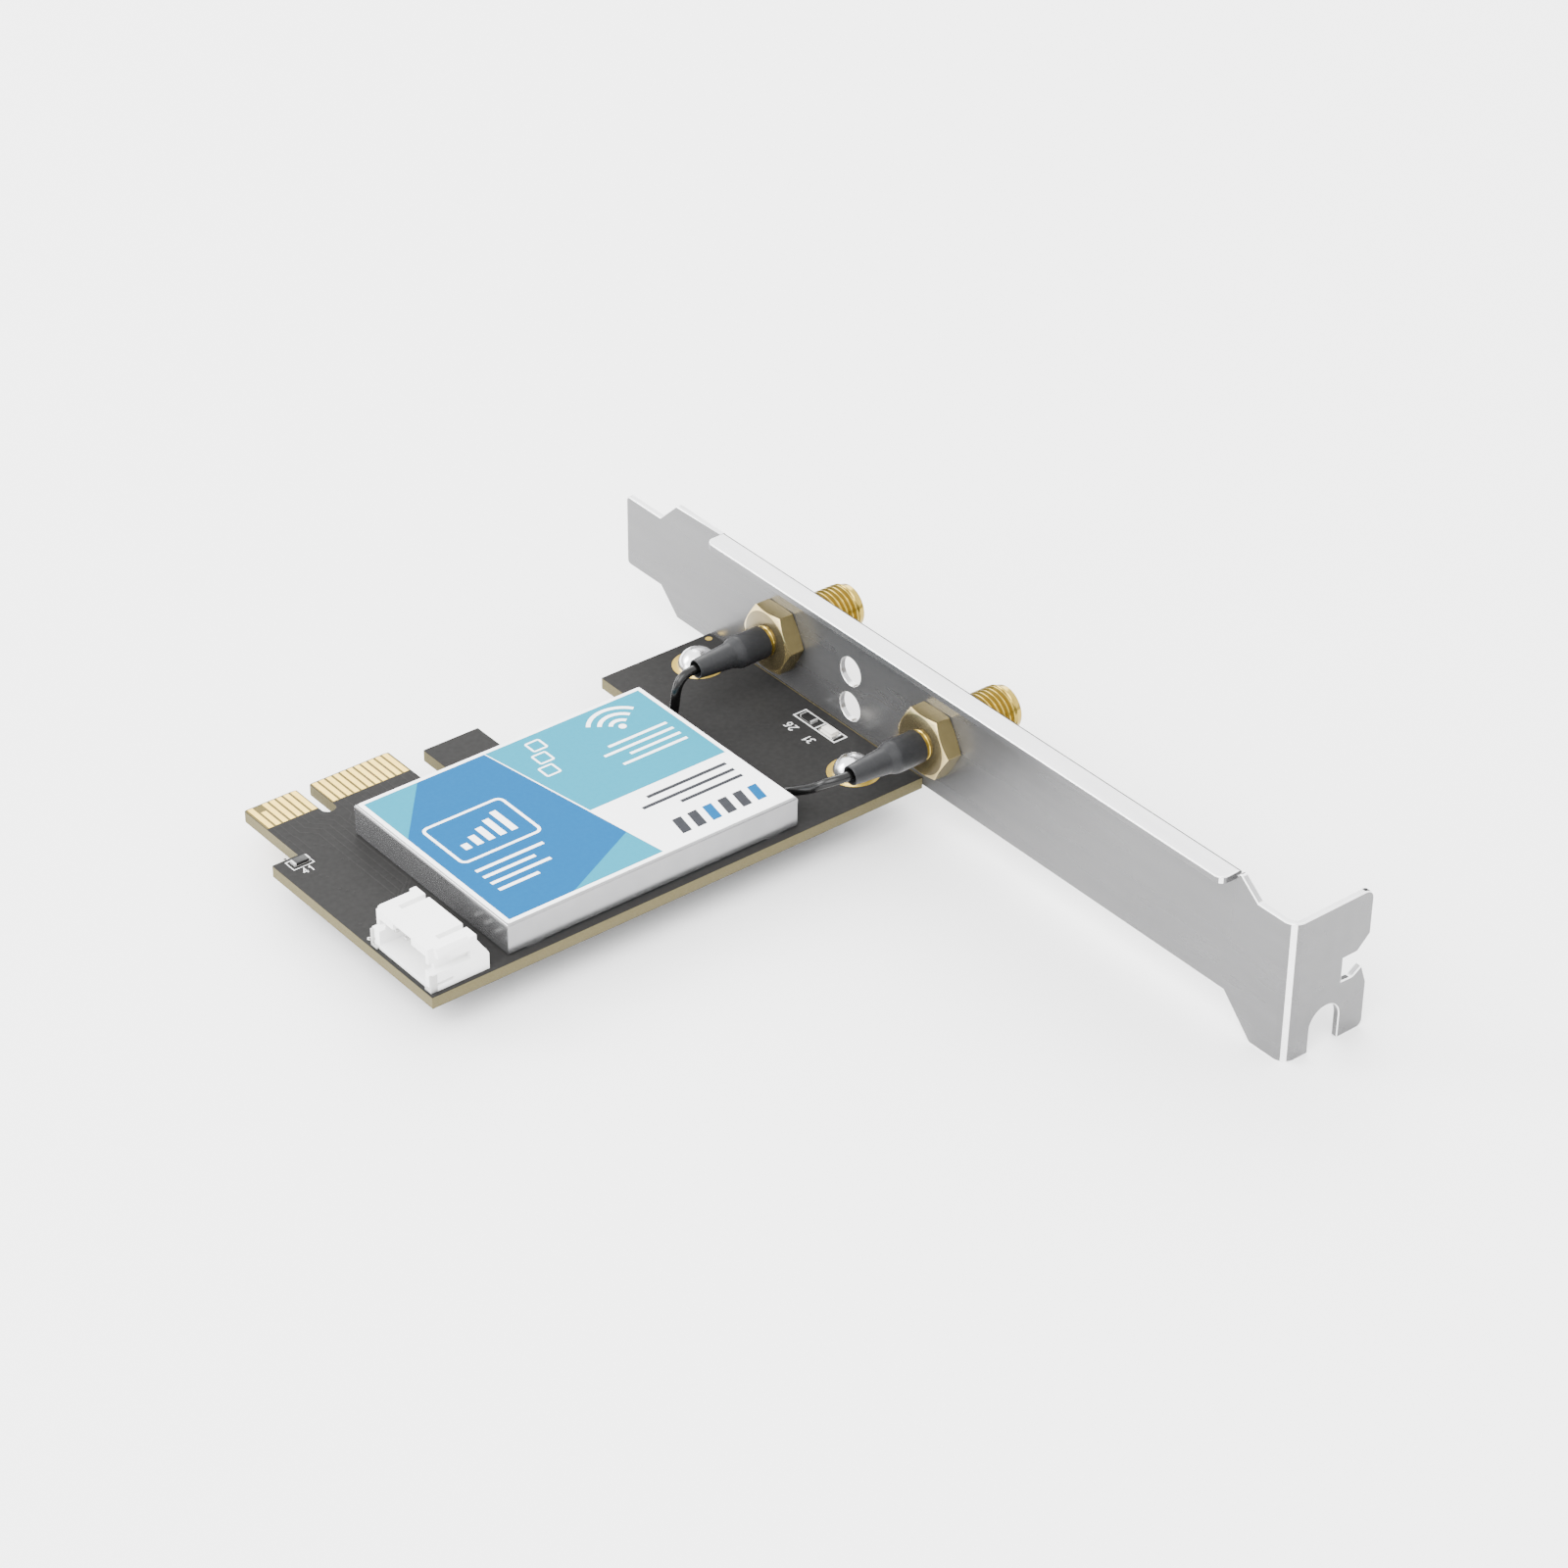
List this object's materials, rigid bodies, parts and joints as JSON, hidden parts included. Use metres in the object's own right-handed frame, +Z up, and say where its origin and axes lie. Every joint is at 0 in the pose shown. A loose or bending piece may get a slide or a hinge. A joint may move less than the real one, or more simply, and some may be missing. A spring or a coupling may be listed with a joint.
{
  "type": "wifi expansion card",
  "caption": "Short expansion card with a shielded radio, a wire header and coax antenna jacks on a folded full-height slot bracket.",
  "frame": {"origin": "middle of the card's footprint, level with the lowest edge of the bracket's screw tab", "axes": "+X out through the bracket along the antenna jacks, +Y along the bracket towards its tongue and the card's edge contacts, +Z up from the component side"},
  "size_m": [0.083, 0.12, 0.0209],
  "materials": {
    "bracket_steel": "satin nickel-plated sheet",
    "board_laminate": "dark solder mask over glass laminate",
    "gold_plating": "bright gold plating",
    "rivet_metal": "bright plated",
    "can_plate": "bright tinned sheet",
    "label_film": "printed film",
    "jack_gold": "gold plated brass",
    "insulator_white": "matte",
    "washer_steel": "bright plated",
    "sleeve_black": "matte shrink sleeve",
    "cable_black": "smooth cable jacket",
    "chip_black": "moulded",
    "crystal_metal": "satin",
    "header_white": "moulded, satin",
    "pin_tin": "tinned",
    "led_cream": "moulded"
  },
  "bodies": {
    "root": {"bracket": "bracket_steel", "circuit_board": "board_laminate", "edge_contacts_front": "gold_plating", "edge_contacts_back": "gold_plating", "rivet_pad_near": "gold_plating", "rivet_pad_far": "gold_plating", "rivet_near": "rivet_metal", "rivet_far": "rivet_metal", "shield_can": "can_plate", "shield_label": "label_film", "radio_chip": "chip_black", "power_chip": "chip_black", "memory_chip": "chip_black", "crystal": "crystal_metal", "front_end_chip_1": "chip_black", "front_end_chip_2": "chip_black", "header_housing": "header_white", "header_pins": "pin_tin", "header_solder_tabs": "pin_tin", "led_resistor": "chip_black", "status_led": "led_cream", "corner_resistor": "chip_black", "antenna_jack_1": "jack_gold", "jack_insulator_1": "insulator_white", "jack_contact_1": "gold_plating", "lock_washer_1": "washer_steel", "hex_nut_1": "jack_gold", "cable_sleeve_1": "sleeve_black", "coax_cable_1": "cable_black", "antenna_receptacle_1": "gold_plating", "cable_plug_1": "gold_plating", "antenna_jack_2": "jack_gold", "jack_insulator_2": "insulator_white", "jack_contact_2": "gold_plating", "lock_washer_2": "washer_steel", "hex_nut_2": "jack_gold", "cable_sleeve_2": "sleeve_black", "coax_cable_2": "cable_black", "antenna_receptacle_2": "gold_plating", "cable_plug_2": "gold_plating"}
  },
  "joints": []
}
